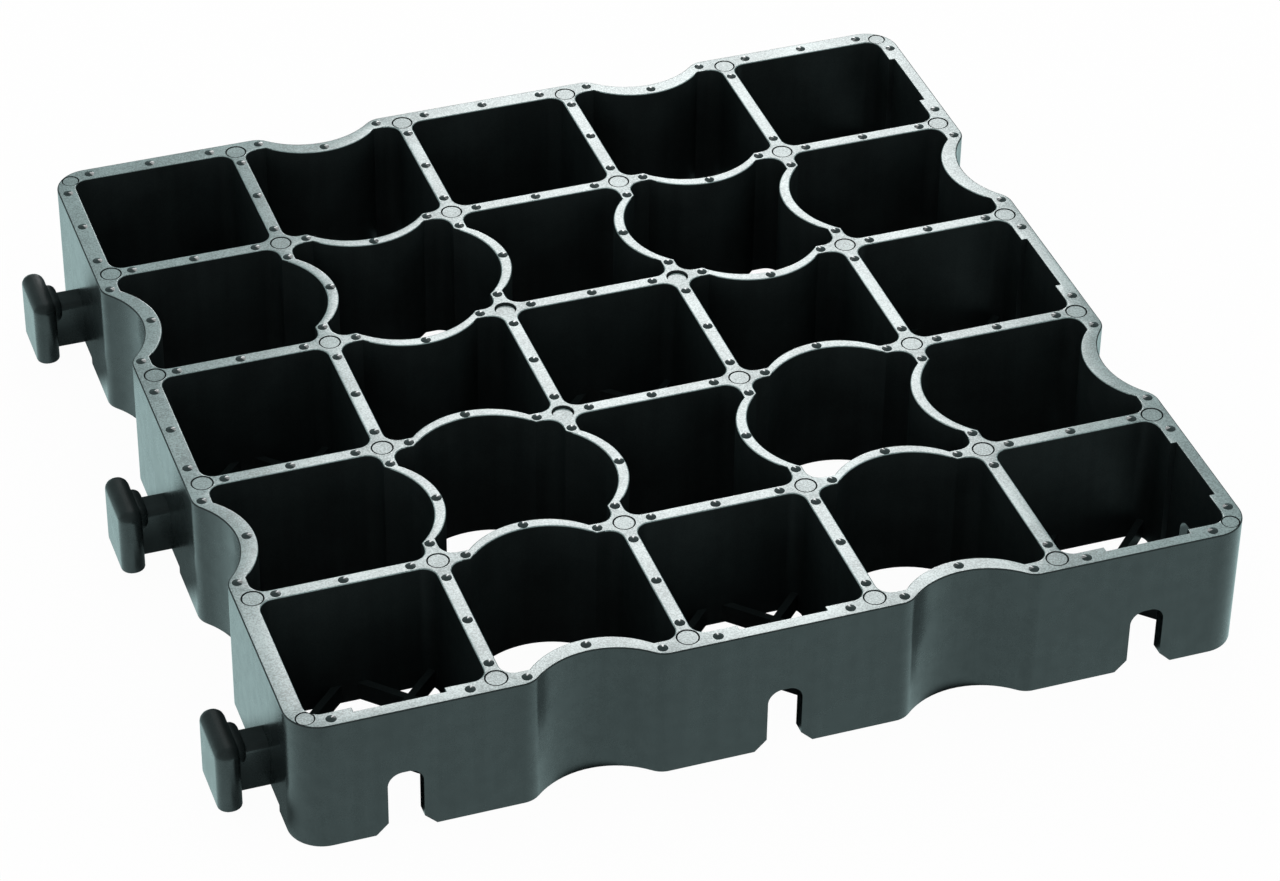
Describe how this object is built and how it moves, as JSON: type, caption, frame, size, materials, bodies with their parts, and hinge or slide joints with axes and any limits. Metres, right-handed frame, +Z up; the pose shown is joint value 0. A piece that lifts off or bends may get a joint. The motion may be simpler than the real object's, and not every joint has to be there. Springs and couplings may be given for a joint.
{
  "type": "grass paver grid",
  "caption": "Square plastic paving grid of open cells with bowed walls, lugs on two sides and slots on the other two, laid to carry wheels over grass or gravel.",
  "frame": {"origin": "middle of the square of cells, on the plane of the walls' feet", "axes": "+Z up from the foot to the top face, +X towards a side with slots, +Y towards a side with lugs"},
  "size_m": [0.3489, 0.3489, 0.05],
  "materials": {
    "recycled_plastic": "moulded, satin, worn lighter on the top faces"
  },
  "bodies": {
    "root": {"paver_grid": "recycled_plastic"}
  },
  "joints": []
}
